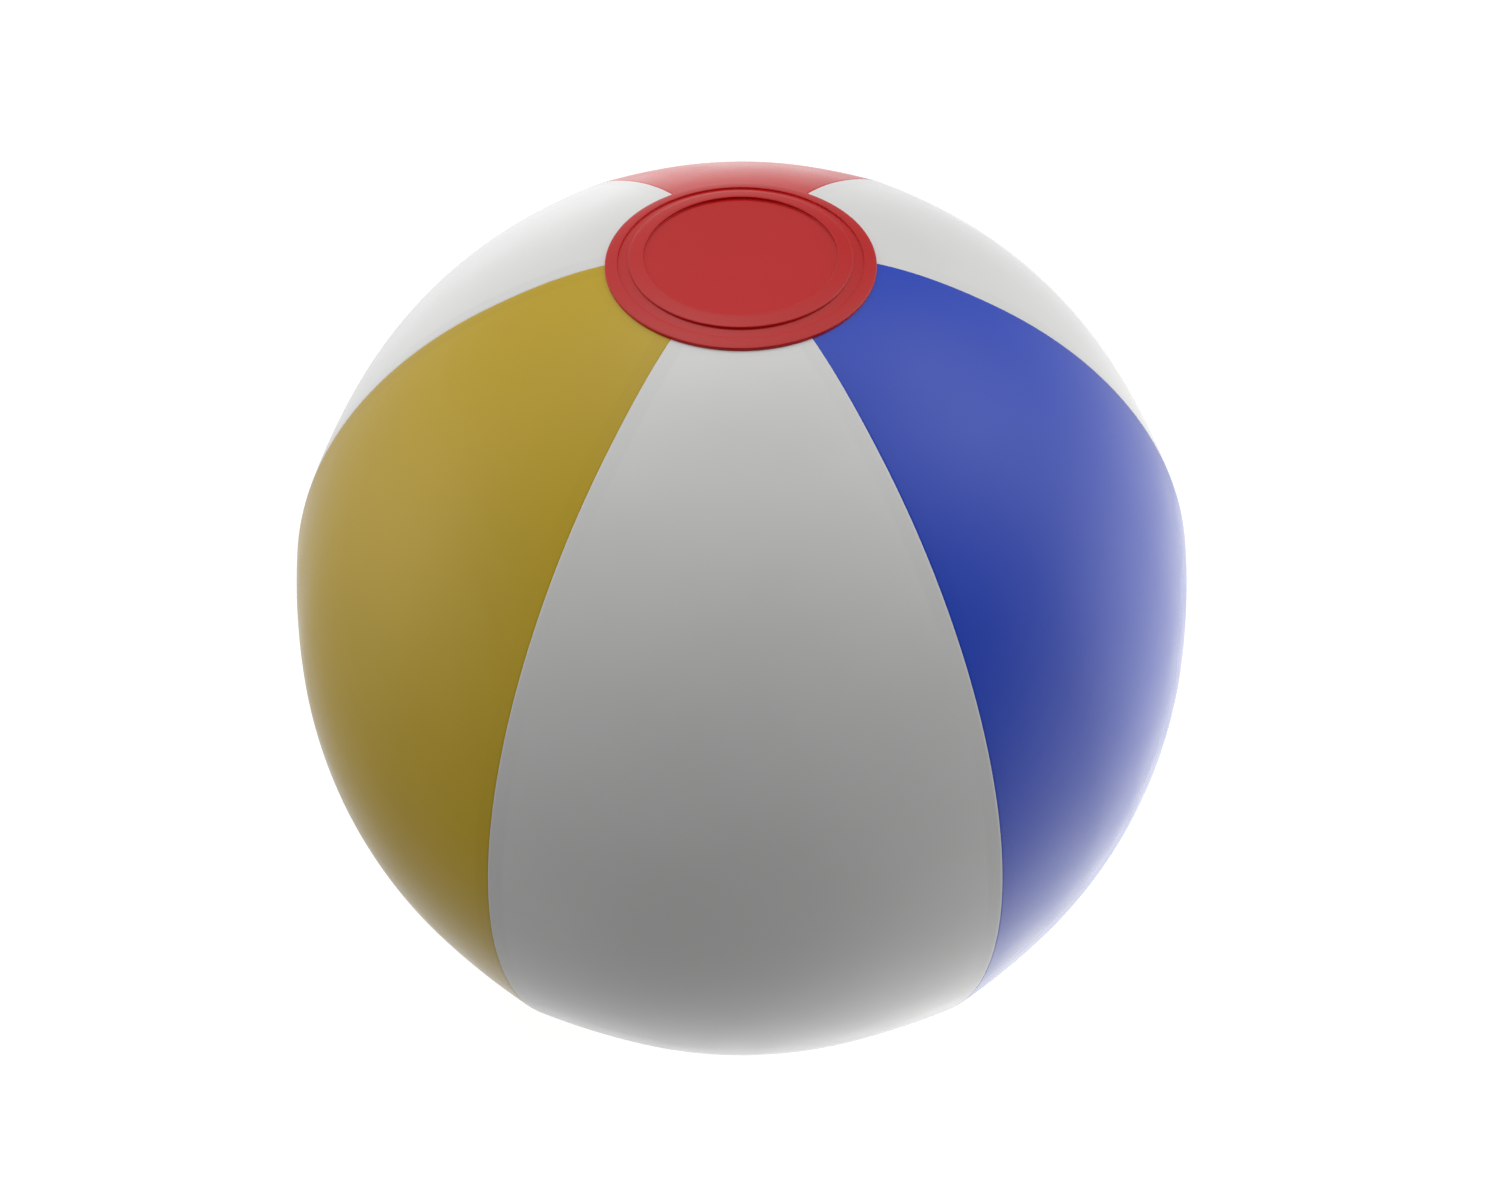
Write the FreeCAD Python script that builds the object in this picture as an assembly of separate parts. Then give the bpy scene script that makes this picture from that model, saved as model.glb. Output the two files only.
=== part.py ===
import FreeCAD, Part
import math
import os

# Inflatable beach ball: six welded film panels, two round end discs and a push-in air valve.
# Frame: the ball stands on its lower disc at z = 0, +Z runs up the polar axis, the front
# white panel faces -Y and the valve is at the middle of the red panel, on +Y.
# Lengths in mm. Each subcomponent goes to its own STEP file, in place.

# --- driving dimensions --------------------------------------------------------------------
FLAT_LENGTH = 508.0                     # pole to pole over the flat ball: a 20 inch beach ball
BALL_R = FLAT_LENGTH / math.pi          # radius of the seam circles once inflated
FILM = 0.30                             # vinyl film

PANELS = [                              # name, azimuth of the panel's middle
    ("gore_white_front", 0),
    ("gore_blue", 60),
    ("gore_white_right", 120),
    ("gore_red", 180),
    ("gore_white_left", 240),
    ("gore_yellow", 300),
]
PANEL_ANGLE = 360 / len(PANELS)
TIP_R = 0.19 * BALL_R                   # the pointed tips are trimmed here, under the discs
LAP_UNDER_OWN = 2.0                     # the weld flap starts this far inside the seam
LAP_UNDER_NEXT = 5.0                    # and reaches this far beneath the next panel

POLE_RISE = 0.006                       # the ends stand a little outside the sphere
RISE_FROM = 0.50                        # sine of the polar angle where that starts
RISE_TO = 0.27                          # and where it is complete
DIP = 0.0145                            # the panels run this much inside the seam circle
DIP_WIDTH = 14.7                        # degrees from a seam until the dip is complete
DIP_MIDDLE = 0.0015
DIP_START = math.radians(15)            # no dip this close to the poles
DIP_POWER = 2.08

DISC_R = 0.26 * BALL_R                  # end discs
DISC_RIM = 0.95                         # height of the outer margin
GROOVE_OUTER = 0.2355 * BALL_R          # pressed weld groove between margin and bead
BEAD_OUTER = 0.215 * BALL_R
BEAD_INNER = 0.185 * BALL_R
BEAD_HEIGHT = 1.30
DISC_WEB = 0.42                         # thickness of the groove floor and the middle
DISC_ROUND = 0.22                       # rounding of the raised edges
PATCH_R = 16.0                          # flat patch that the ball stands on; elsewhere in the
                                        # lower disc's middle the air pressure domes it

HOLE_R = 9.5                            # valve hole in the red panel
FLANGE_R, FLANGE_BORE, FLANGE_T = 17.0, 9.0, 0.8
BOOT_TOP, BOOT_WALL = -0.60, 0.55       # rolling collar; heights run out along the valve's axis
STEM_R, BORE_R = 5.5, 4.0
STEM_TOP, STEM_FOOT = -2.4, -14.4
FLAP_R, FLAP_T, FLAP_GAP = 4.9, 0.35, 0.05
FLAP_HINGE = 5.3                        # distance of the flap's hinge line from the axis
PLUG_HEAD_R, PLUG_HEAD_T = 7.0, 1.5
PLUG_LENGTH = 7.0
RUNNING = 0.05                          # running clearance of plug and collar on the stem
TETHER_R, TETHER_T = 6.0, 0.8
TETHER_TOP, TETHER_FOOT = -3.4, -5.0

POLE_R = BALL_R * (1 + POLE_RISE)
CENTRE_Z = math.sqrt((POLE_R + DISC_WEB) ** 2 - PATCH_R ** 2)
THETA_TIP = math.asin(TIP_R / POLE_R)

os.makedirs("parts", exist_ok=True)
V = FreeCAD.Vector
CENTRE = V(0, 0, CENTRE_Z)


# --- the inflated skin ---------------------------------------------------------------------
def ease(x):
    x = min(max(x, 0.0), 1.0)
    return x * x * (3 - 2 * x)


def skin_radius(theta, phi):
    """Distance of the outer skin from the ball's centre; theta from the pole, phi in degrees."""
    s = math.sin(theta)
    seam = BALL_R * (1 + POLE_RISE * ease((RISE_FROM - s) / (RISE_FROM - RISE_TO)))
    off = (phi + PANEL_ANGLE / 2) % PANEL_ANGLE
    off = min(off, PANEL_ANGLE - off)
    near = 1 - min(off / DIP_WIDTH, 1)
    dip = DIP * (1 - near ** 2) + DIP_MIDDLE * math.sin(math.radians(3 * off)) ** 2
    low = math.sin(DIP_START)
    fade = max((s - low) / (1 - low), 0) ** DIP_POWER
    return seam * (1 - fade * dip)


def skin_point(theta, phi, depth):
    r = skin_radius(theta, phi) - depth
    a = math.radians(phi)
    s = math.sin(theta)
    return CENTRE + V(r * s * math.sin(a), -r * s * math.cos(a), r * math.cos(theta))


def steps(start, end, count):
    return [start + (end - start) * i / count for i in range(count + 1)]


def through(points, params):
    curve = Part.BSplineCurve()
    curve.interpolate(Points=points, Parameters=params)
    return curve


class Line:
    """A line down the ball: an azimuth in degrees plus a distance in mm around the ball."""

    def __init__(self, azimuth, shift=0.0):
        self.azimuth = azimuth
        self.shift = shift

    def phi(self, theta):
        return self.azimuth + math.degrees(self.shift / (BALL_R * math.sin(theta)))


def across(left, right, theta, share):
    """Azimuth a share of the way from one line to the other."""
    a, b = left.phi(theta), right.phi(theta)
    return a + (b - a) * share


def sheet(left, right, depth, thetas, count):
    """One smooth face at a depth below the skin, between two lines."""
    shares = steps(0, 1, count)
    columns = []
    for share in shares:
        pts = [skin_point(t, across(left, right, t, share), depth) for t in thetas]
        columns.append(through(pts, thetas))
    poles = [c.getPoles() for c in columns]
    rows = [through([p[i] for p in poles], shares) for i in range(len(poles[0]))]
    surface = Part.BSplineSurface()
    surface.buildFromPolesMultsKnots(
        [r.getPoles() for r in rows],
        columns[0].getMultiplicities(), rows[0].getMultiplicities(),
        columns[0].getKnots(), rows[0].getKnots(), False, False, 3, 3)
    return surface.toShape()


def side_wall(line, depth_a, depth_b, thetas):
    """The face down one line, between two depths."""
    edges = []
    for depth in (depth_a, depth_b):
        pts = [skin_point(t, line.phi(t), depth) for t in thetas]
        edges.append(through(pts, thetas).toShape())
    return Part.makeRuledSurface(*edges)


def end_wall(left, right, depth_a, depth_b, theta, count):
    """The face along one end of a sheet, between two depths."""
    shares = steps(0, 1, count)
    edges = []
    for depth in (depth_a, depth_b):
        pts = [skin_point(theta, across(left, right, theta, s), depth) for s in shares]
        edges.append(through(pts, shares).toShape())
    return Part.makeRuledSurface(*edges)


def close(faces, tolerance=0.002):
    shell = Part.makeShell(faces)
    shell.sewShape(tolerance)
    solid = Part.Solid(shell)
    if solid.Volume < 0:
        solid.reverse()
    if not (solid.isValid() and solid.isClosed()):
        raise RuntimeError("a shell didn't close")
    return solid


def panel(azimuth):
    """One gore: the film, and the weld flap along its later edge that runs under the next."""
    first = Line(azimuth - PANEL_ANGLE / 2)
    seam = Line(azimuth + PANEL_ANGLE / 2)
    own = Line(azimuth + PANEL_ANGLE / 2, -LAP_UNDER_OWN)
    flap = Line(azimuth + PANEL_ANGLE / 2, LAP_UNDER_NEXT)
    thetas = steps(THETA_TIP, math.pi - THETA_TIP, 56)
    wide, narrow = 32, 4
    faces = [
        sheet(first, own, 0, thetas, wide),
        sheet(first, own, FILM, thetas, wide),
        sheet(own, seam, 0, thetas, narrow),
        sheet(own, seam, 2 * FILM, thetas, narrow),
        sheet(seam, flap, FILM, thetas, narrow),
        sheet(seam, flap, 2 * FILM, thetas, narrow),
        side_wall(first, 0, FILM, thetas),
        side_wall(own, FILM, 2 * FILM, thetas),
        side_wall(seam, 0, FILM, thetas),
        side_wall(flap, FILM, 2 * FILM, thetas),
    ]
    for theta in (thetas[0], thetas[-1]):
        faces.append(end_wall(first, own, 0, FILM, theta, wide))
        faces.append(end_wall(own, seam, 0, FILM, theta, narrow))
        faces.append(end_wall(own, seam, FILM, 2 * FILM, theta, narrow))
        faces.append(end_wall(seam, flap, FILM, 2 * FILM, theta, narrow))
    return close(faces)


def slab(depth_a, depth_b, theta_span, phi_span, count=10):
    """A block of the skin's own shape between two depths."""
    left, right = Line(phi_span[0]), Line(phi_span[1])
    thetas = steps(*theta_span, count)
    faces = [sheet(left, right, d, thetas, count) for d in (depth_a, depth_b)]
    faces += [side_wall(line, depth_a, depth_b, thetas) for line in (left, right)]
    faces += [end_wall(left, right, depth_a, depth_b, t, count) for t in theta_span]
    return close(faces)


# --- turned pieces -------------------------------------------------------------------------
def turned(corners, angle=360.0):
    """A solid turned about Z from (radius, height) corners."""
    wire = Part.makePolygon([V(r, 0, z) for r, z in corners + corners[:1]])
    return Part.Face(wire).revolve(V(0, 0, 0), V(0, 0, 1), angle)


def round_edges(solid, size, wanted):
    """Round the circular edges at the wanted (radius, height) places."""
    edges = []
    for edge in solid.Edges:
        box = edge.BoundBox
        for radius, height in wanted:
            flat = abs(box.ZMax - height) < 0.02 and abs(box.ZMin - height) < 0.02
            if flat and abs(box.XMax - radius) < 0.02:
                edges.append(edge)
    if len(edges) != len(wanted):
        raise RuntimeError("an edge to round wasn't found")
    return solid.makeFillet(size, edges)


def disc(side, flat_r):
    """An end disc: margin, weld groove and raised bead on the dome, and a thin middle.

    The middle is flat inside flat_r. The upper disc's is flat right across, up to the bead.
    """
    def at(radius, height):
        reach = POLE_R + height
        return V(radius, 0, side * math.sqrt(reach ** 2 - max(radius, flat_r) ** 2))

    def arc(outer, inner, height):
        middle = at((outer + inner) / 2, height)
        return Part.Arc(at(outer, height), middle, at(inner, height)).toShape()

    bands = [
        (DISC_R, GROOVE_OUTER, DISC_RIM),
        (GROOVE_OUTER, BEAD_OUTER, DISC_WEB),
        (BEAD_OUTER, BEAD_INNER, BEAD_HEIGHT),
    ]
    if flat_r < BEAD_INNER:
        bands.append((BEAD_INNER, flat_r, DISC_WEB))
    below = [height for _, _, height in bands[1:]] + [DISC_WEB]
    edges = [Part.makeLine(at(DISC_R, 0), at(DISC_R, DISC_RIM))]
    for (outer, inner, height), next_height in zip(bands, below):
        edges.append(arc(outer, inner, height))
        if next_height != height:
            edges.append(Part.makeLine(at(inner, height), at(inner, next_height)))
    edges.append(Part.makeLine(at(flat_r, DISC_WEB), at(0, DISC_WEB)))
    edges.append(Part.makeLine(at(0, DISC_WEB), at(0, 0)))
    edges.append(Part.makeLine(at(0, 0), at(flat_r, 0)))
    edges.append(arc(flat_r, DISC_R, 0))
    face = Part.Face(Part.Wire(Part.__sortEdges__(edges)))
    solid = face.revolve(V(0, 0, 0), V(0, 0, 1), 360)
    raised = [(DISC_R, DISC_RIM), (GROOVE_OUTER, DISC_RIM),
              (BEAD_OUTER, BEAD_HEIGHT), (BEAD_INNER, BEAD_HEIGHT)]
    solid = round_edges(solid, DISC_ROUND, [(r, at(r, h).z) for r, h in raised])
    solid.translate(CENTRE)
    return solid


# --- the valve, drawn about Z with its height running out of the ball ----------------------
def valve_boot():
    """The rolling collar, pushed in: a thin cup from the flange's bore down to the stem's foot."""
    slope_in, slope_out = 6.3, 6.9
    return turned([
        (FLANGE_BORE, BOOT_TOP), (FLANGE_BORE, BOOT_TOP - 0.8), (slope_out, STEM_FOOT + 0.7),
        (slope_out - 0.4, STEM_FOOT), (STEM_R + RUNNING, STEM_FOOT),
        (STEM_R + RUNNING, STEM_FOOT + BOOT_WALL), (slope_in, STEM_FOOT + BOOT_WALL),
        (FLANGE_BORE - BOOT_WALL, BOOT_TOP)])


def valve_stem():
    stem = turned([
        (BORE_R, STEM_FOOT), (STEM_R, STEM_FOOT), (STEM_R, STEM_TOP - 0.3),
        (STEM_R - 0.3, STEM_TOP), (BORE_R + 0.3, STEM_TOP), (BORE_R, STEM_TOP - 0.3)])
    return stem


def check_flap():
    """A soft disc under the stem's foot with a tongue up to its hinge line."""
    top = STEM_FOOT - FLAP_GAP
    round_part = Part.makeCylinder(FLAP_R, FLAP_T, V(0, 0, top - FLAP_T))
    tongue = Part.makeBox(4.0, FLAP_HINGE, FLAP_T, V(-2.0, -FLAP_HINGE, top - FLAP_T))
    return round_part.fuse(tongue).removeSplitter()


def stopper_plug():
    """Domed head over the stem, a shank in its bore, and a thumb bar across the head."""
    under = STEM_TOP + RUNNING
    top = under + PLUG_HEAD_T
    foot = under - PLUG_LENGTH
    shank = BORE_R - RUNNING
    body = turned([
        (0, foot), (shank - 0.8, foot), (shank, foot + 1.6), (shank, under),
        (PLUG_HEAD_R - 0.2, under), (PLUG_HEAD_R, under + 0.2), (PLUG_HEAD_R, top - 0.6),
        (PLUG_HEAD_R - 0.5, top - 0.15), (PLUG_HEAD_R - 1.8, top), (0, top)])
    bar = Part.makeBox(8.0, 1.6, 0.9, V(-4.0, -0.8, top - 0.1))
    bar = bar.makeFillet(0.3, [e for e in bar.Edges if e.BoundBox.ZMin > top])
    return body.fuse(bar).removeSplitter()


def plug_tether():
    """The strap that keeps the plug: half a turn round the stem, from its wall to the head."""
    inner, outer = TETHER_R, TETHER_R + TETHER_T
    strap = turned([(inner, TETHER_FOOT), (outer, TETHER_FOOT),
                    (outer, TETHER_TOP), (inner, TETHER_TOP)], 180)
    root = Part.makeBox(outer - STEM_R + 0.05, 1.6, TETHER_TOP - TETHER_FOOT,
                        V(STEM_R - 0.05, -0.8, TETHER_FOOT))
    end = Part.makeBox(TETHER_T, 2.2, STEM_TOP - TETHER_FOOT, V(-outer, -1.4, TETHER_FOOT))
    return strap.fuse([root, end]).removeSplitter()


# --- placing and writing -------------------------------------------------------------------
VALVE_AT = skin_point(math.pi / 2, 180, 0)
VALVE_PLACE = FreeCAD.Placement(VALVE_AT, FreeCAD.Rotation(V(1, 0, 0), -90))


def placed(solid):
    solid.Placement = VALVE_PLACE.multiply(solid.Placement)
    return solid


def valve_tube(outer, inner):
    tube = Part.makeCylinder(outer, 16, V(0, 0, -8))
    if inner:
        tube = tube.cut(Part.makeCylinder(inner, 16, V(0, 0, -8)))
    return placed(tube)


def write(name, solid):
    if solid.ShapeType != "Solid":
        solid = solid.Solids[0]
    if not solid.isValid():
        raise RuntimeError(name + " is not a valid solid")
    solid.exportStep("parts/" + name + ".step")


for name, azimuth in PANELS:
    film = panel(azimuth)
    if name == "gore_red":
        film = film.cut(valve_tube(HOLE_R, 0))
    write(name, film)

write("top_end_disc", disc(1, BEAD_INNER))
write("bottom_end_disc", disc(-1, PATCH_R))

window = math.radians(9)
block = slab(FILM, FILM + FLANGE_T, (math.pi / 2 - window, math.pi / 2 + window), (171, 189))
write("valve_flange", block.common(valve_tube(FLANGE_R, FLANGE_BORE)))
for piece in (valve_boot, valve_stem, check_flap, stopper_plug, plug_tether):
    write(piece.__name__, placed(piece()))
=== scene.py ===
import math

import bmesh
import bpy
import numpy as np
from mathutils import Matrix, Vector


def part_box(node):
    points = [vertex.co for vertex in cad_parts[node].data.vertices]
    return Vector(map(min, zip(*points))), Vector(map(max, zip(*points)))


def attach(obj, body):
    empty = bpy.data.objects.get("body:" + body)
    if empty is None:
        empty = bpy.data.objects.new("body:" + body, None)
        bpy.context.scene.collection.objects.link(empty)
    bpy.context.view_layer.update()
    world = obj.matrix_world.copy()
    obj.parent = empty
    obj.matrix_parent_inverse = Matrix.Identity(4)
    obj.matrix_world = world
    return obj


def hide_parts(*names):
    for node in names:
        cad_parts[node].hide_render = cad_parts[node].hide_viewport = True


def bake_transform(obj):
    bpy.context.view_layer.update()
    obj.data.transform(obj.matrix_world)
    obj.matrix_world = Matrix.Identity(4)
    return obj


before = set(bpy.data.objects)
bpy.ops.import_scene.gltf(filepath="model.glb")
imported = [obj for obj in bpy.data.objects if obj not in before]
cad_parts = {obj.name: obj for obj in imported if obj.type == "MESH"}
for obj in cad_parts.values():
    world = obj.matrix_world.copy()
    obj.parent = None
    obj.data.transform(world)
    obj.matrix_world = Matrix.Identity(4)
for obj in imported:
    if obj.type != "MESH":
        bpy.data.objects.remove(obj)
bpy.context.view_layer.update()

# Inflatable beach ball. Metres, in the CAD's frame: it stands at z = 0, the front white panel
# faces -Y and the valve is in the middle of the red panel, on +Y.

MM = 0.001

# --- the inflated shape, as in the CAD ---------------------------------------------------------
FLAT_LENGTH = 0.508                 # the trade size, from pole to pole of the flat ball
BALL_R = FLAT_LENGTH / math.pi
PANEL_DEGREES = 60
HALF_PANEL = PANEL_DEGREES / 2

# The ball stands up a little round its poles. The rise begins and is complete at these
# distances from the polar axis, as shares of the radius.
POLE_RISE = 0.006
RISE_FROM = 0.50
RISE_TO = 0.27

# Between its seams a panel lies lower, most at the equator and not at all close to the poles.
DIP = 0.0145                        # share of the radius
DIP_WIDTH = 14.7                    # degrees from a seam over which the dip sets in
DIP_MIDDLE = 0.0015                 # a little more, in the middle of the panel
DIP_LOW = math.sin(math.radians(15))
DIP_POWER = 2.08

POLE_R = BALL_R * (1 + POLE_RISE)
TIP_R = 0.19 * BALL_R               # the panels' tips are trimmed to this radius
THETA_TIP = math.asin(TIP_R / POLE_R)
FILM = 0.30 * MM
LAP = 5.0                           # mm, how far a weld flap runs under its neighbour

DISC_R = 0.26 * BALL_R
GROOVE_OUTER = 0.2355 * BALL_R
BEAD_OUTER = 0.215 * BALL_R
BEAD_INNER = 0.185 * BALL_R
DISC_RIM = 0.95 * MM
BEAD_HEIGHT = 1.30 * MM
DISC_WEB = 0.42 * MM
PATCH_R = 16 * MM                   # the flat patch that the ball stands on

# The valve, in mm. Heights are measured out of the ball from the skin on the valve's axis.
HOLE_R = 9.5
SEAT_R = 9.0                        # where the flange and the rolling collar meet
FLANGE_R = 17.0
STEM_TOP = -2.4
STEM_FOOT = -14.4
STEM_R = 5.5
BORE_R = 4.0
COLLAR_BORE = 5.55
COLLAR_LIP = 0.55

HEAD_R = 7.0
HEAD_LOW = STEM_TOP + 0.05
HEAD_TOP = HEAD_LOW + 1.5
PLUG_R = 3.95
PLUG_FOOT = HEAD_LOW - 7.0

STRAP_INNER = 6.0
STRAP_OUTER = 6.8
STRAP_LOW = -5.0
STRAP_HIGH = -3.4

FLAP_R = 4.9
FLAP_TOP = STEM_FOOT - 0.05
FLAP_LOW = FLAP_TOP - 0.35

stem_low, stem_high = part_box("valve_stem")
CENTRE = Vector((0, 0, (stem_low.z + stem_high.z) / 2))
VALVE_Y = stem_high.y - STEM_TOP * MM


def ease(x):
    """A smooth step from 0 to 1."""
    x = np.clip(x, 0.0, 1.0)
    return x * x * (3 - 2 * x)


def skin_radius(theta, phi):
    """Distance of the skin from the ball's centre; theta from the pole, phi in degrees."""
    s = np.sin(theta)
    seam = BALL_R * (1 + POLE_RISE * ease((RISE_FROM - s) / (RISE_FROM - RISE_TO)))
    off = (phi + HALF_PANEL) % PANEL_DEGREES
    off = np.minimum(off, PANEL_DEGREES - off)
    near = 1 - np.minimum(off / DIP_WIDTH, 1)
    dip = DIP * (1 - near ** 2) + DIP_MIDDLE * np.sin(np.radians(3 * off)) ** 2
    fade = np.maximum((s - DIP_LOW) / (1 - DIP_LOW), 0) ** DIP_POWER
    return seam * (1 - fade * dip)


def on_skin(theta, phi, lift):
    """Points on the skin, raised by lift, as an array with a last axis of x, y, z."""
    r = skin_radius(theta, phi) + lift
    turn = np.radians(phi)
    s = np.sin(theta)
    points = np.stack([r * s * np.sin(turn), -r * s * np.cos(turn), r * np.cos(theta)], -1)
    return points + np.array(CENTRE)


def at_valve(x, z, lift):
    """Points on the skin near the valve at sideways x and height z from its axis."""
    r = np.full(len(x), VALVE_Y)
    for _ in range(6):
        y = np.sqrt(r ** 2 - x ** 2 - z ** 2)
        theta = np.arccos(z / r)
        phi = 180 - np.degrees(np.arctan2(x, y))
        r = skin_radius(theta, phi) + lift
    y = np.sqrt(r ** 2 - x ** 2 - z ** 2)
    return np.stack([x, y, z + CENTRE.z], -1)


# --- meshes in general -------------------------------------------------------------------------
SURFACES = {}                       # the materials, by their slots in the record


def make(name, node, verts, faces, slot, sharp, seam=None):
    """A mesh that replaces a CAD node; edges over sharp degrees stay crisp.

    seam gives each vertex its distance in mm from the panel's long edge, for the material.
    """
    mesh = bpy.data.meshes.new(name)
    mesh.from_pydata([tuple(v) for v in verts], [], faces)
    mesh.validate()
    mesh.shade_smooth()
    mesh.set_sharp_from_angle(angle=math.radians(sharp))
    if seam is not None:
        mesh.attributes.new("seam_mm", "FLOAT", "POINT").data.foreach_set("value", seam)
    mesh.materials.append(SURFACES[slot])
    obj = bpy.data.objects.new(name, mesh)
    bpy.context.scene.collection.objects.link(obj)
    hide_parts(node)
    return obj


def fix_normals(obj):
    """Turns every face outwards."""
    bm = bmesh.new()
    bm.from_mesh(obj.data)
    bmesh.ops.recalc_face_normals(bm, faces=bm.faces)
    bm.to_mesh(obj.data)
    bm.free()


def join_parts(parts):
    """Several (verts, faces) as one."""
    verts, faces = [], []
    for part_verts, part_faces in parts:
        start = len(verts)
        verts.extend(part_verts)
        faces.extend([[i + start for i in face] for face in part_faces])
    return verts, faces


def rounded(corners, parts=5):
    """A closed (radius, height) outline with the corners rounded; each is (r, h, rounding)."""
    out = []
    for k, (r, h, size) in enumerate(corners):
        here = np.array([r, h])
        if size <= 0:
            out.append(here)
            continue
        before = np.array(corners[k - 1][:2]) - here
        after = np.array(corners[(k + 1) % len(corners)][:2]) - here
        before = before / np.hypot(*before)
        after = after / np.hypot(*after)
        half = math.acos(np.clip(before @ after, -1, 1)) / 2
        run = size / math.tan(half)
        middle = here + (before + after) / np.hypot(*(before + after)) * size / math.sin(half)
        first = here + before * run - middle
        last = here + after * run - middle
        begin = math.atan2(first[1], first[0])
        sweep = (math.atan2(last[1], last[0]) - begin + math.pi) % (2 * math.pi) - math.pi
        for t in np.linspace(begin, begin + sweep, parts + 1):
            out.append(middle + size * np.array([math.cos(t), math.sin(t)]))
    return out


def split(points, longest):
    """The same outline with its long runs divided."""
    out = []
    for k, p in enumerate(points):
        q = points[(k + 1) % len(points)]
        parts = max(1, int(math.ceil(np.hypot(*(q - p)) / longest)))
        out += [p + (q - p) * i / parts for i in range(parts)]
    return out


def lathe(outline, segments, place):
    """Turns a closed (radius, height) outline; place maps x, y, height to the row frame."""
    on_axis = 1e-7
    verts, faces, rings = [], [], []
    for r, h in outline:
        if r < on_axis:
            rings.append([len(verts)] * segments)
            verts.append(place(0.0, 0.0, h))
            continue
        rings.append(list(range(len(verts), len(verts) + segments)))
        for k in range(segments):
            turn = 2 * math.pi * k / segments
            verts.append(place(r * math.cos(turn), r * math.sin(turn), h))
    for ring, beyond in zip(rings, rings[1:] + rings[:1]):
        for k in range(segments):
            m = (k + 1) % segments
            face = list(dict.fromkeys((ring[k], ring[m], beyond[m], beyond[k])))
            if len(face) > 2:
                faces.append(face)
    return verts, faces


# --- materials ---------------------------------------------------------------------------------
def feed(tree, socket, value):
    """Links value to a socket if it is another node's output, and otherwise sets it."""
    if isinstance(value, bpy.types.NodeSocket):
        tree.links.new(value, socket)
    else:
        socket.default_value = value


class Nodes:
    """A new material, with short names for the nodes that these materials use."""

    def __init__(self, name):
        self.material = bpy.data.materials.new(name)
        self.material.use_nodes = True
        self.tree = self.material.node_tree
        self.shader = self.tree.nodes["Principled BSDF"]
        self.where = self.tree.nodes.new("ShaderNodeTexCoord").outputs["Object"]

    def noise(self, scale, detail):
        node = self.tree.nodes.new("ShaderNodeTexNoise")
        node.inputs["Scale"].default_value = scale
        node.inputs["Detail"].default_value = detail
        self.tree.links.new(self.where, node.inputs["Vector"])
        return node.outputs["Fac"]

    def remap(self, value, low, high, out_low, out_high):
        node = self.tree.nodes.new("ShaderNodeMapRange")
        node.inputs["From Min"].default_value = low
        node.inputs["From Max"].default_value = high
        node.inputs["To Min"].default_value = out_low
        node.inputs["To Max"].default_value = out_high
        self.tree.links.new(value, node.inputs["Value"])
        return node.outputs["Result"]

    def cloudy(self, scale, detail, low, high):
        """Noise that wanders from low to high."""
        return self.remap(self.noise(scale, detail), 0.3, 0.7, low, high)

    def mix(self, share, a, b):
        """Colour a turning into b. A colour mix has its factor, A and B at sockets 0, 6 and 7."""
        node = self.tree.nodes.new("ShaderNodeMix")
        node.data_type = "RGBA"
        for socket, value in ((0, share), (6, a), (7, b)):
            feed(self.tree, node.inputs[socket], value)
        return node.outputs[2]

    def bump(self, height, distance, strength):
        node = self.tree.nodes.new("ShaderNodeBump")
        node.inputs["Distance"].default_value = distance
        node.inputs["Strength"].default_value = strength
        self.tree.links.new(height, node.inputs["Height"])
        return node.outputs["Normal"]

    def put(self, name, value):
        feed(self.tree, self.shader.inputs[name], value)


VINYL_IOR = 1.5
FILM_ROUGH = 0.23
ROUGH_SPREAD = 0.03
OVERLAP_TONE = 0.975                # the colour is this much deeper where two films overlap
OVERLAP_EDGE = 0.6                  # mm either side of the flap's edge over which it changes


def shade(colour, factor):
    """A linear RGB colour made lighter or darker, with alpha 1."""
    return tuple(min(1, c * factor) for c in colour) + (1,)


def vinyl(slot, colour, specular=0.5, seamed=True):
    """Soft vinyl film: a faint cloudiness, orange peel, and deeper colour where films overlap."""
    n = Nodes(slot)
    tone = n.mix(n.cloudy(14, 3, 0, 1), shade(colour, 0.97), shade(colour, 1.03))
    if seamed:
        seam = n.tree.nodes.new("ShaderNodeAttribute")
        seam.attribute_name = "seam_mm"
        past_flap = n.remap(seam.outputs["Fac"], LAP - OVERLAP_EDGE, LAP + OVERLAP_EDGE, 0, 1)
        tone = n.mix(past_flap, shade(colour, OVERLAP_TONE), tone)
    n.put("Base Color", tone)
    n.put("IOR", VINYL_IOR)
    n.put("Specular IOR Level", specular)
    n.put("Roughness", n.cloudy(60, 3, FILM_ROUGH - ROUGH_SPREAD, FILM_ROUGH + ROUGH_SPREAD))
    n.put("Normal", n.bump(n.noise(260, 1), 0.2 * MM, 0.06))
    SURFACES[slot] = n.material


def soft_clear(slot):
    """The valve's soft see-through vinyl."""
    n = Nodes(slot)
    n.put("Base Color", n.mix(n.cloudy(160, 3, 0, 1), (0.76, 0.79, 0.81, 1), (0.86, 0.88, 0.89, 1)))
    n.put("IOR", VINYL_IOR)
    n.put("Roughness", n.cloudy(300, 3, 0.30, 0.40))
    n.put("Normal", n.bump(n.noise(900, 2), 0.1 * MM, 0.15))
    n.put("Transmission Weight", 0.30)
    n.put("Subsurface Weight", 0.25)
    n.put("Subsurface Radius", (2 * MM, 2 * MM, 2 * MM))
    SURFACES[slot] = n.material


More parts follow.
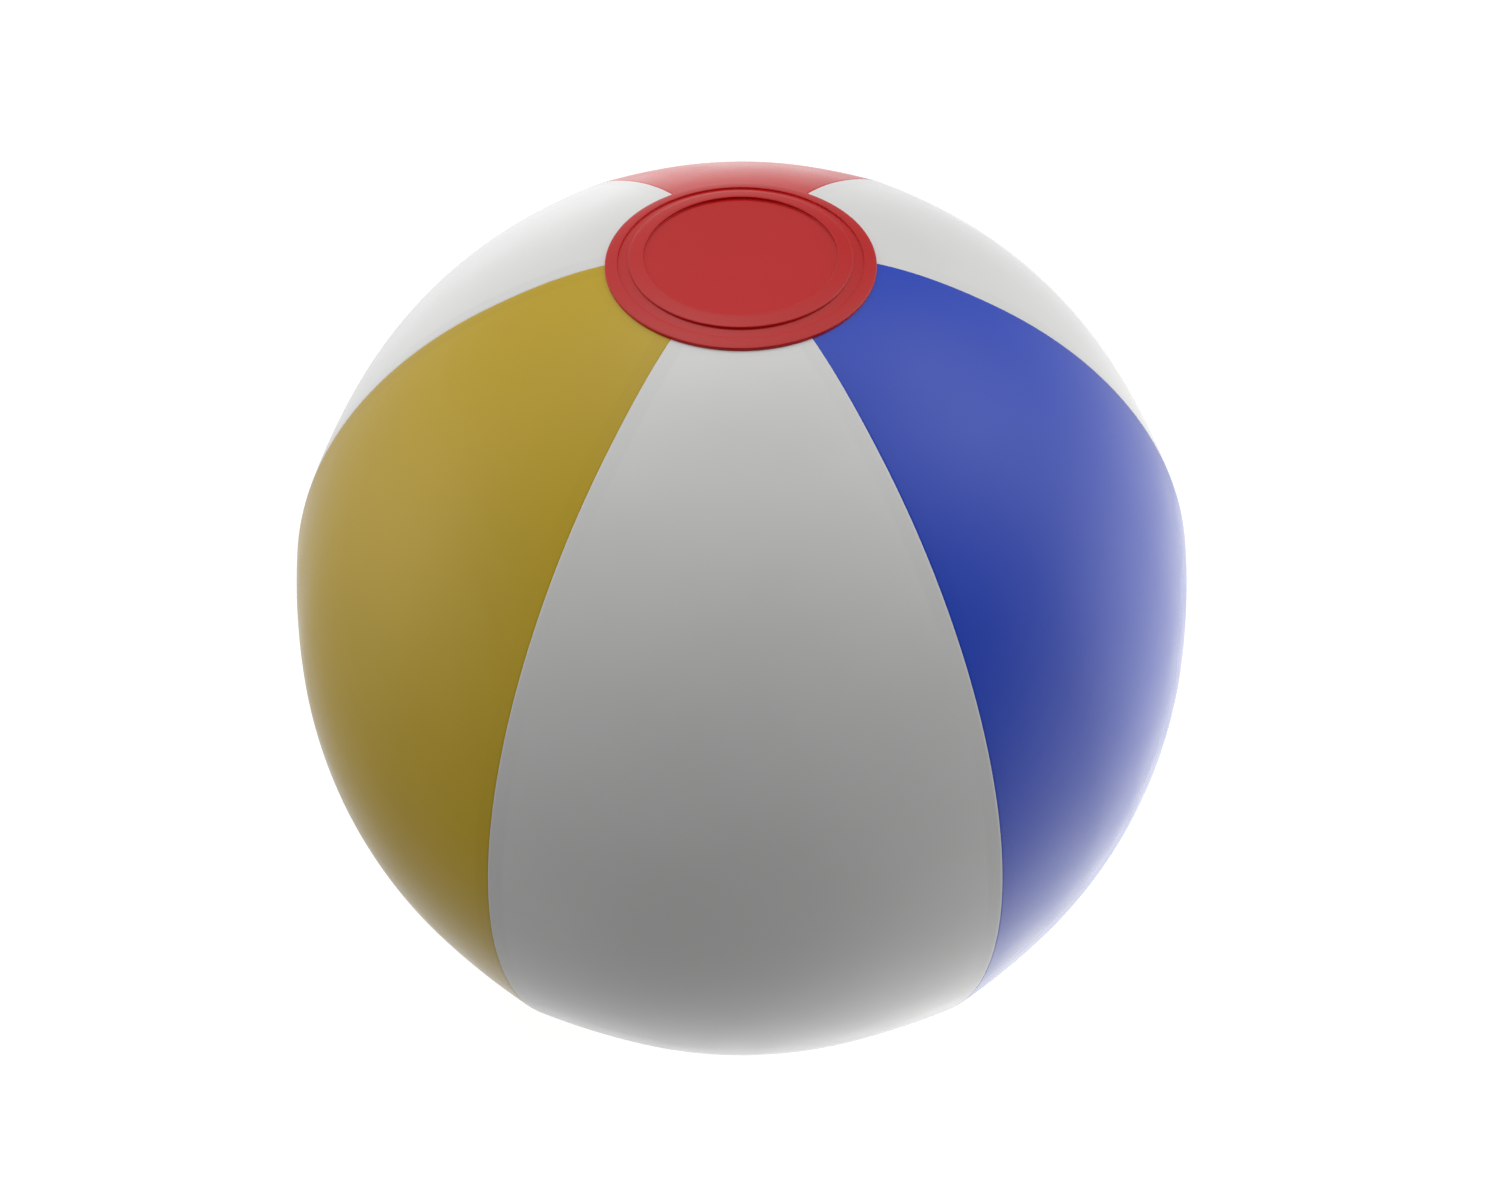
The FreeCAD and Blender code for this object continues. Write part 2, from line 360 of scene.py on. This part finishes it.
vinyl("film_white", (0.82, 0.82, 0.81))
vinyl("film_blue", (0.003, 0.054, 0.574))
vinyl("film_red", (0.66, 0.004, 0.004))
vinyl("film_yellow", (0.593, 0.402, 0.002), specular=0.40)
vinyl("disc_red", (0.58, 0.004, 0.004), specular=0.43, seamed=False)
soft_clear("valve_vinyl")


# --- the film panels ---------------------------------------------------------------------------
# Columns of vertices at these distances in mm from a panel's long edge, then even ones between.
EDGE_MM = [0, 0.07, 0.18, 0.35, 0.9, 2.0, 3.2, 4.3, 5.0, 5.7, 7.5, 10.5]
INNER_COLUMNS = 40
ROWS = 132

CUT_DEPTH = 0.11                    # mm, how far a cut edge rounds down
CUT_WIDTH = 0.35                    # mm
BAND_HEIGHT = 0.008                 # mm, how far the weld band stands up
BAND_BLEND = 1.2                    # mm over which it falls away
WELD_WIDTH = 2.0                    # mm, the band on the edge that has no flap under it
PUCKER_HEIGHT = 0.008               # mm
PUCKER_MIDDLE = 5.5                 # mm from the long edge, where the gathers are deepest
PUCKER_REACH = 5.0                  # mm

# Round the valve, in mm: the flange raises the film, out to a distance from the valve's axis, and
# between two other distances the film is pressed down where it is welded to the flange.
FLANGE_RISE = 0.22
FLANGE_EDGE = 16.3
FLANGE_BLEND = 1.6
PRESSED_DEPTH = 0.16
PRESSED_FROM = 12.3
PRESSED_TO = 14.7
PRESSED_BLEND = 0.5


def pucker(theta, edge):
    """Faint gathers that run in from a seam, where flat film was welded along a curve."""
    along = theta * BALL_R / MM
    wave = (np.sin(along * 0.79) + 0.6 * np.sin(along * 1.27 + 1.3)
            + 0.5 * np.sin(along * 0.43 + 2.1) + 0.3 * np.sin(along * 2.03 + 0.4))
    swell = np.exp(-((edge - PUCKER_MIDDLE) / PUCKER_REACH) ** 2)
    return wave * swell * PUCKER_HEIGHT


def cut_edge(distance):
    """Height in mm at a distance from a cut edge of the film, which is rounded."""
    return -CUT_DEPTH * np.clip(1 - distance / CUT_WIDTH, 0, 1) ** 2


def edge_lift(theta, edge, width):
    """Height in mm over the skin near a seam: the cut edge and a weld band of that width."""
    band = BAND_HEIGHT * (1 - ease((edge - width) / BAND_BLEND + 0.5))
    return cut_edge(edge) + band + pucker(theta, edge)


def valve_lift(r):
    """Height in mm over the skin round the valve: the welded flange shows through the film."""
    raised = FLANGE_RISE * (1 - ease((r - FLANGE_EDGE) / FLANGE_BLEND))
    begun = ease((r - PRESSED_FROM) / PRESSED_BLEND)
    ended = ease((r - PRESSED_TO) / PRESSED_BLEND)
    return raised - PRESSED_DEPTH * (begun - ended) + cut_edge(r - HOLE_R)


def half_width(theta):
    """Half a panel's width in mm."""
    return math.radians(HALF_PANEL) * BALL_R * np.sin(theta) / MM


def edge_distances(theta):
    """Distance in mm of each vertex of one row from the nearer long edge."""
    inward = np.linspace(EDGE_MM[-1], half_width(theta), INNER_COLUMNS // 2 + 1)[1:]
    left = np.concatenate([EDGE_MM, inward])
    return np.concatenate([left, left[-2::-1]])


def gore(name, azimuth, slot, valve=False):
    """One film panel: outer and inner skins joined round the edge, and round the valve hole."""
    thetas = np.linspace(THETA_TIP, math.pi - THETA_TIP, ROWS + 1)
    edge = np.array([edge_distances(theta) for theta in thetas])
    rows, columns = edge.shape
    side = np.where(np.arange(columns) <= columns // 2, -1, 1)
    theta = np.repeat(thetas[:, None], columns, 1)
    reach = (half_width(theta) - edge) * MM
    phi = azimuth + side * np.degrees(reach / (BALL_R * np.sin(theta)))
    lift = edge_lift(theta, edge, np.where(side < 0, LAP, WELD_WIDTH))
    outer = on_skin(theta, phi, lift * MM)
    under = on_skin(theta, phi, np.minimum(lift, 0) * MM - FILM)
    verts = list(outer.reshape(-1, 3)) + list(under.reshape(-1, 3))
    seam = list(edge.reshape(-1)) * 2
    faces = []
    below = rows * columns
    for i in range(rows - 1):
        for j in range(columns - 1):
            if valve and in_valve_square(i, j, rows, columns):
                continue
            first = i * columns + j
            quad = [first, first + columns, first + columns + 1, first + 1]
            faces.append(quad)
            faces.append([below + q for q in reversed(quad)])
    rim = ([(0, j) for j in range(columns)]
           + [(i, columns - 1) for i in range(1, rows)]
           + [(rows - 1, j) for j in range(columns - 2, -1, -1)]
           + [(i, 0) for i in range(rows - 2, 0, -1)])
    loop = [i * columns + j for i, j in rim]
    for here, after in zip(loop, loop[1:] + loop[:1]):
        faces.append([here, after, below + after, below + here])
    if valve:
        ring_block(verts, seam, faces, outer)
    obj = make("film_" + name, "gore_" + name, verts, faces, slot, 40, seam)
    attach(obj, "ball")


# The valve's hole takes a square of cells, this many each way from the panel's middle, which
# rings of these radii in mm fill from the outside in.
VALVE_CELLS = 8
RING_MM = [22.0, 19.0, 18.0, 17.4, 16.8, 16.2, 15.4, 14.95, 14.7, 14.3, 13.4, 12.8, 12.55, 12.2,
           11.2, 10.2, 9.85, 9.68, 9.57, HOLE_R]
FIRST_RING = 0.65                   # how far the first ring is from the square to its own radius
EVEN_AFTER = 3                      # rings that it takes to go from the square to even steps
FAR_FROM_SEAM = 60.0                # mm


def in_valve_square(i, j, rows, columns):
    """Whether the cell at row i and column j lies in the square that the rings fill."""
    down = abs(i + 0.5 - rows // 2)
    across = abs(j + 0.5 - columns // 2)
    return down < VALVE_CELLS and across < VALVE_CELLS


def ring_block(verts, seam, faces, outer):
    """Fills the square of cells round the valve with rings that end at the round hole."""
    rows, columns = outer.shape[:2]
    steps = range(-VALVE_CELLS, VALVE_CELLS)
    square = ([(-VALVE_CELLS, k) for k in steps] + [(k, VALVE_CELLS) for k in steps]
              + [(VALVE_CELLS, -k) for k in steps] + [(-k, -VALVE_CELLS) for k in steps])
    square = [(rows // 2 + down, columns // 2 + across) for down, across in square]
    count = len(square)
    x = np.array([outer[place][0] for place in square]) / MM
    z = np.array([outer[place][2] - CENTRE.z for place in square]) / MM
    far = np.hypot(x, z)
    angle = np.unwrap(np.arctan2(z, x))
    even = angle[0] + np.linspace(0, 2 * math.pi, count, endpoint=False)
    above = [i * columns + j for i, j in square]
    under = [rows * columns + q for q in above]
    for k, radius in enumerate(RING_MM):
        share = min((k + 1) / EVEN_AFTER, 1)
        spin = angle * (1 - share) + even * share
        r = np.full(count, radius)
        if k == 0:
            r = far * (1 - FIRST_RING) + radius * FIRST_RING
        x = r * np.cos(spin) * MM
        z = r * np.sin(spin) * MM
        lift = valve_lift(r) * MM
        start = len(verts)
        verts.extend(at_valve(x, z, lift))
        verts.extend(at_valve(x, z, np.minimum(lift, 0) - FILM))
        seam.extend([FAR_FROM_SEAM] * 2 * count)
        next_above = list(range(start, start + count))
        next_under = list(range(start + count, start + 2 * count))
        for m in range(count):
            w = (m + 1) % count
            faces.append([next_above[m], next_above[w], above[w], above[m]])
            faces.append([under[m], under[w], next_under[w], next_under[m]])
        above = next_above
        under = next_under
    for m in range(count):
        w = (m + 1) % count
        faces.append([above[m], under[m], under[w], above[w]])


PANELS = [("white_front", "film_white"), ("blue", "film_blue"), ("white_right", "film_white"),
          ("red", "film_red"), ("white_left", "film_white"), ("yellow", "film_yellow")]
for order, (panel, slot) in enumerate(PANELS):
    gore(panel, order * PANEL_DEGREES, slot, valve=panel == "red")


# --- the end discs -----------------------------------------------------------------------------
DISC_SEGMENTS = 192
DISC_STEP = 1.2 * MM                # the longest edge along the outline


def disc(name, node, side, flat_r, blend):
    """An end disc: margin, pressed weld groove and raised bead on the dome, and a thin middle.

    Inside flat_r it is flat, and blend is how softly the flat turns into the dome.
    """
    corners = [
        (0.0, 0.0, 0), (DISC_R, 0.0, 0), (DISC_R, DISC_RIM, 0.28 * MM),
        (GROOVE_OUTER, DISC_RIM, 0.20 * MM), (GROOVE_OUTER, DISC_WEB, 0.12 * MM),
        (BEAD_OUTER, DISC_WEB, 0.12 * MM), (BEAD_OUTER, BEAD_HEIGHT, 0.30 * MM),
        (BEAD_INNER, BEAD_HEIGHT, 0.22 * MM), (BEAD_INNER, DISC_WEB, 0.12 * MM),
        (0.0, DISC_WEB, 0)]

    def place(x, y, h):
        past = math.hypot(x, y) - flat_r
        reach = flat_r + (past + math.sqrt(past ** 2 + blend ** 2)) / 2
        return (x, y, CENTRE.z + side * math.sqrt((POLE_R + h) ** 2 - reach ** 2))

    verts, faces = lathe(split(rounded(corners), DISC_STEP), DISC_SEGMENTS, place)
    obj = make(name, node, verts, faces, "disc_red", 50)
    fix_normals(obj)
    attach(obj, "ball")


disc("end_disc_top", "top_end_disc", 1, BEAD_INNER, 0.3 * MM)
disc("end_disc_bottom", "bottom_end_disc", -1, PATCH_R, 0.9 * MM)


# --- the valve ---------------------------------------------------------------------------------
def valve_place(x, y, h):
    """Valve coordinates (height out of the ball) to the row frame, in metres."""
    return (x, VALVE_Y + h, CENTRE.z - y)


def valve_point(x, y, h):
    """The same from millimetres."""
    return valve_place(x * MM, y * MM, h * MM)


def turned(corners, segments, longest):
    """A turned valve part from an outline in valve millimetres."""
    outline = rounded([(r * MM, h * MM, size * MM) for r, h, size in corners])
    return lathe(split(outline, longest * MM), segments, valve_place)


def rounded_box(low, high, rounding):
    """Corners and faces of a box with rounded edges, in valve millimetres."""
    bm = bmesh.new()
    bmesh.ops.create_cube(bm, size=1.0)
    for v in bm.verts:
        for k in range(3):
            v.co[k] = low[k] if v.co[k] < 0 else high[k]
    bmesh.ops.bevel(bm, geom=list(bm.edges), offset=rounding, segments=3, profile=0.5,
                    affect="EDGES")
    verts = [valve_point(*v.co) for v in bm.verts]
    faces = [[v.index for v in f.verts] for f in bm.faces]
    bm.free()
    return verts, faces


def valve_piece(name, node, parts, sharp):
    """One piece of the valve from its parts."""
    verts, faces = join_parts(parts)
    obj = make(name, node, verts, faces, "valve_vinyl", sharp)
    fix_normals(obj)
    return obj


def add_ring():
    """The flange: a ring welded under the panel round the hole."""
    ring = turned([(SEAT_R, -1.35, 0), (FLANGE_R, -2.0, 0.25), (FLANGE_R, -1.22, 0.25),
                   (SEAT_R, -0.56, 0.2)], 96, 0.8)
    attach(valve_piece("valve_ring", "valve_flange", [ring], 40), "ball")


def add_collar():
    """The thin sleeve from the flange to the stem's foot; the real one rolls out with the stem,
    this mesh stays fixed as built.
    """
    bend = STEM_FOOT + 0.8
    lip = STEM_FOOT + COLLAR_LIP
    sleeve = turned([(SEAT_R, -0.60, 0.15), (SEAT_R, -1.40, 0), (6.95, bend, 0.6),
                     (6.5, STEM_FOOT, 0.3), (COLLAR_BORE, STEM_FOOT, 0), (COLLAR_BORE, lip, 0),
                     (6.3, lip, 0.4), (8.45, -0.60, 0.15)], 96, 0.5)
    collar = valve_piece("valve_collar", "valve_boot", [sleeve], 40)
    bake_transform(collar)


def add_tube():
    """The stem, a plain tube."""
    tube = turned([(BORE_R, STEM_FOOT, 0.2), (STEM_R, STEM_FOOT, 0.2), (STEM_R, STEM_TOP, 0.45),
                   (BORE_R, STEM_TOP, 0.45)], 72, 0.8)
    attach(valve_piece("valve_tube", "valve_stem", [tube], 40), "stem")


def add_stopper():
    """The plug, with a domed head and a thumb bar on it."""
    body = turned([
        (0, PLUG_FOOT, 0), (3.15, PLUG_FOOT, 0.5), (PLUG_R, PLUG_FOOT + 1.7, 0.6),
        (PLUG_R, HEAD_LOW, 0), (HEAD_R, HEAD_LOW, 0.25), (HEAD_R, HEAD_TOP - 0.35, 0.5),
        (5.2, HEAD_TOP, 1.2), (0, HEAD_TOP, 0)], 72, 0.6)
    thumb_bar = rounded_box((-4.0, -0.8, HEAD_TOP - 0.3), (4.0, 0.8, HEAD_TOP + 0.8), 0.36)
    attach(valve_piece("stopper", "stopper_plug", [body, thumb_bar], 45), "plug")


def strap_band():
    """The tether's band: a little over half a turn round the stem."""
    section = rounded([(STRAP_INNER, STRAP_LOW, 0.2), (STRAP_OUTER, STRAP_LOW, 0.2),
                       (STRAP_OUTER, STRAP_HIGH, 0.2), (STRAP_INNER, STRAP_HIGH, 0.2)], 3)
    steps = 40
    verts, faces = [], []
    for turn in np.radians(np.linspace(-4, 184, steps + 1)):
        for r, h in section:
            verts.append(valve_point(r * math.cos(turn), r * math.sin(turn), h))
    n = len(section)
    for k in range(steps):
        for m in range(n):
            p = (m + 1) % n
            faces.append([k * n + m, k * n + p, (k + 1) * n + p, (k + 1) * n + m])
    faces.append(list(range(n)))
    faces.append([steps * n + m for m in reversed(range(n))])
    return verts, faces


def add_strap():
    """The tether: the band, a root on the stem's wall and a post up to the plug's head."""
    root = rounded_box((5.35, -0.8, STRAP_LOW + 0.05), (6.7, 0.8, STRAP_HIGH - 0.05), 0.2)
    post = rounded_box((-6.78, -1.3, STRAP_LOW + 0.02), (-6.02, 0.8, STEM_TOP), 0.18)
    strap = valve_piece("stopper_strap", "plug_tether", [strap_band(), root, post], 45)
    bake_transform(strap)


def add_flap():
    """The check flap at the stem's foot, with the tongue that it bends at."""
    leaf = turned([(0, FLAP_LOW, 0), (FLAP_R, FLAP_LOW, 0.1), (FLAP_R, FLAP_TOP, 0.1),
                   (0, FLAP_TOP, 0)], 64, 0.8)
    tongue = rounded_box((-2.0, -5.3, FLAP_LOW + 0.02), (2.0, -3.5, FLAP_TOP - 0.02), 0.08)
    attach(valve_piece("valve_flap", "check_flap", [leaf, tongue], 45), "flap")


add_ring()
add_collar()
add_tube()
add_stopper()
add_strap()
add_flap()


# --- floor, light, camera ----------------------------------------------------------------------
def direction_to(azimuth, elevation):
    """Unit vector; both in degrees. Azimuth 0 is towards -Y and 90 towards +X."""
    turn = math.radians(azimuth)
    rise = math.radians(elevation)
    return Vector((math.sin(turn) * math.cos(rise), -math.cos(turn) * math.cos(rise),
                   math.sin(rise)))


def add_floor():
    """A pale floor that lights nothing: the soft boxes stand in for what it sends back."""
    reach = 6
    mesh = bpy.data.meshes.new("floor")
    corners = [(-reach, -reach, 0), (reach, -reach, 0), (reach, reach, 0), (-reach, reach, 0)]
    mesh.from_pydata(corners, [], [(0, 1, 2, 3)])
    material = bpy.data.materials.new("floor")
    material.use_nodes = True
    shader = material.node_tree.nodes["Principled BSDF"]
    shader.inputs["Base Color"].default_value = (0.16, 0.16, 0.16, 1)
    shader.inputs["Roughness"].default_value = 0.9
    shader.inputs["Specular IOR Level"].default_value = 0.0
    shader.inputs["Emission Color"].default_value = (1, 1, 1, 1)
    shader.inputs["Emission Strength"].default_value = 0.95
    mesh.materials.append(material)
    floor = bpy.data.objects.new("floor", mesh)
    bpy.context.scene.collection.objects.link(floor)
    floor.location.z = -0.2 * MM
    floor.visible_diffuse = False
    floor.visible_glossy = False


# Soft boxes round the ball: azimuth, elevation, how tight the patch of light is, and how bright.
SOFT_BOXES = {
    "overhead": (-148, 67, 7.25, 1.70),
    "right_high": (109, 42, 9, 1.64),
    "right_low": (101, -8, 9, 1.00),
    "left": (-96, 13, 5.6, 1.28),
    "behind": (-162, -9, 9, 0.94),
    "bounce_below": (117, -58, 2.5, 1.68)}


def add_light():
    """A world of soft boxes, which the camera itself sees as plain white."""
    world = bpy.data.worlds.new("studio")
    world.use_nodes = True
    bpy.context.scene.world = world
    tree = world.node_tree
    looking = tree.nodes.new("ShaderNodeTexCoord").outputs["Generated"]

    def calculate(kind, operation, a, b):
        node = tree.nodes.new(kind)
        node.operation = operation
        feed(tree, node.inputs[0], a)
        feed(tree, node.inputs[1], b)
        return node.outputs["Value"]

    def number(operation, a, b=0.0):
        return calculate("ShaderNodeMath", operation, a, b)

    brightness = 0.0
    for azimuth, elevation, tight, strength in SOFT_BOXES.values():
        towards = direction_to(azimuth, elevation)
        facing = calculate("ShaderNodeVectorMath", "DOT_PRODUCT", looking, towards)
        falloff = number("EXPONENT", number("MULTIPLY", number("SUBTRACT", facing, 1.0), tight))
        brightness = number("ADD", brightness, number("MULTIPLY", falloff, strength))
    seen_directly = tree.nodes.new("ShaderNodeLightPath").outputs["Is Camera Ray"]
    brightness = number("MAXIMUM", brightness, seen_directly)
    background = tree.nodes["Background"]
    background.inputs["Color"].default_value = (1, 1, 1, 1)
    tree.links.new(brightness, background.inputs["Strength"])


CAMERA_LENS = 46.06                 # mm, on a sensor 36 mm wide
CAMERA_DISTANCE = 4.381 * BALL_R
CAMERA_AZIMUTH = -0.25              # degrees
CAMERA_ELEVATION = 47.12            # degrees
PAN = math.radians(0.23)
TILT = math.radians(0.29)
ROLL = math.radians(-0.25)


def add_camera():
    """The camera looks down on the ball's centre, then pans, tilts and rolls a little."""
    camera = bpy.data.objects.new("camera", bpy.data.cameras.new("camera"))
    bpy.context.scene.collection.objects.link(camera)
    bpy.context.scene.camera = camera
    camera.data.sensor_width = 36
    camera.data.lens = CAMERA_LENS
    camera.data.clip_start = 0.01
    camera.data.clip_end = 50
    away = direction_to(CAMERA_AZIMUTH, CAMERA_ELEVATION)
    ahead = -away
    right = direction_to(CAMERA_AZIMUTH + 90, 0)
    up = right.cross(ahead)
    level = ahead * math.cos(PAN) + right * math.sin(PAN)
    ahead = level * math.cos(TILT) + up * math.sin(TILT)
    right = ahead.cross(up).normalized()
    up = right.cross(ahead)
    rolled_right = right * math.cos(ROLL) + up * math.sin(ROLL)
    rolled_up = up * math.cos(ROLL) - right * math.sin(ROLL)
    facing = Matrix((rolled_right, rolled_up, -ahead)).transposed().to_4x4()
    camera.matrix_world = Matrix.Translation(CENTRE + away * CAMERA_DISTANCE) @ facing


add_floor()
add_light()
add_camera()
bpy.context.scene.view_settings.view_transform = "Standard"
